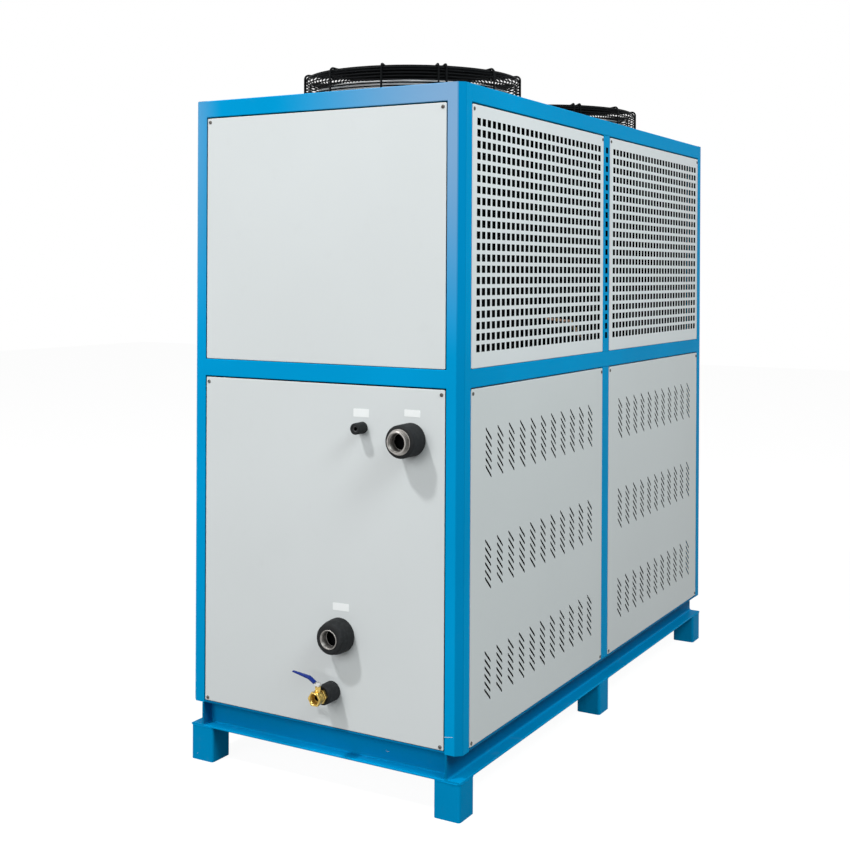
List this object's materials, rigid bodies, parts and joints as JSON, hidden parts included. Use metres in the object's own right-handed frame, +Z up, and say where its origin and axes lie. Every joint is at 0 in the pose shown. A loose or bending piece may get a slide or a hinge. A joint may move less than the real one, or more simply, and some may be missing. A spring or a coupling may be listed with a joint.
{
  "type": "air-cooled water chiller",
  "caption": "Air-cooled water chiller: tall blue-framed sheet housing on a footed angle base, side air grilles, top fans under wire guards, and foam-sleeved pipe ends with a drain valve.",
  "frame": {"origin": "on the floor, under the centre of the whole machine's box, pipe ends included", "axes": "+Z up, +X across the housing towards the pictured long side, +Y along the housing away from the pipe end"},
  "size_m": [0.79, 1.828, 1.7885],
  "materials": {
    "base_blue": "satin blue paint",
    "frame_blue": "satin blue paint",
    "sheet_zinc": "zinc-coated sheet",
    "collar_grey": "light grey paint",
    "panel_grey": "fine satin light grey paint",
    "guard_black": "black coated wire",
    "motor_black": "black paint",
    "rotor_grey": "dark paint",
    "coil_fins": "dark coated fins",
    "foam_black": "closed-cell foam",
    "socket_steel": "turned steel",
    "overflow_grey": "plastic tube",
    "valve_brass": "cast and turned brass",
    "lever_blue": "dipped blue vinyl"
  },
  "bodies": {
    "housing": {"air_collars": "collar_grey", "base_cross_member": "base_blue", "base_end_members": "base_blue", "base_member_left": "base_blue", "base_member_right": "base_blue", "bottom_rails": "frame_blue", "condenser_coil_left": "coil_fins", "condenser_coil_right": "coil_fins", "corner_posts": "frame_blue", "drain_valve": "valve_brass", "end_panel_lower_back": "panel_grey", "end_panel_lower_front": "panel_grey", "end_panel_upper_back": "panel_grey", "end_panel_upper_front": "panel_grey", "fan_guards": "guard_black", "fan_motors": "motor_black", "feet": "base_blue", "floor_sheet": "sheet_zinc", "foam_sleeves": "foam_black", "grille_panel_left_a": "panel_grey", "grille_panel_left_b": "panel_grey", "grille_panel_right_a": "panel_grey", "grille_panel_right_b": "panel_grey", "mid_posts": "frame_blue", "mid_rails": "frame_blue", "overflow_tube": "overflow_grey", "pipe_sockets": "socket_steel", "slotted_panel_left_a": "panel_grey", "slotted_panel_left_b": "panel_grey", "slotted_panel_right_a": "panel_grey", "slotted_panel_right_b": "panel_grey", "top_rails": "frame_blue", "top_sheet": "sheet_zinc"},
    "front_fan": {"fan_rotor_front": "rotor_grey"},
    "back_fan": {"fan_rotor_back": "rotor_grey"},
    "drain_handle": {"drain_lever": "lever_blue"}
  },
  "joints": [
    {"name": "front_fan_spin", "type": "hinge", "parent": "housing", "child": "front_fan", "pos_m": [0, -0.393, 1.74], "axis": [0, 0, 1], "continuous": true},
    {"name": "back_fan_spin", "type": "hinge", "parent": "housing", "child": "back_fan", "pos_m": [0, 0.471, 1.74], "axis": [0, 0, 1], "continuous": true},
    {"name": "drain_handle_turn", "type": "hinge", "parent": "housing", "child": "drain_handle", "pos_m": [0.042, -0.896, 0.2766], "axis": [0, 0, 1], "range_deg": [0, 90]}
  ]
}
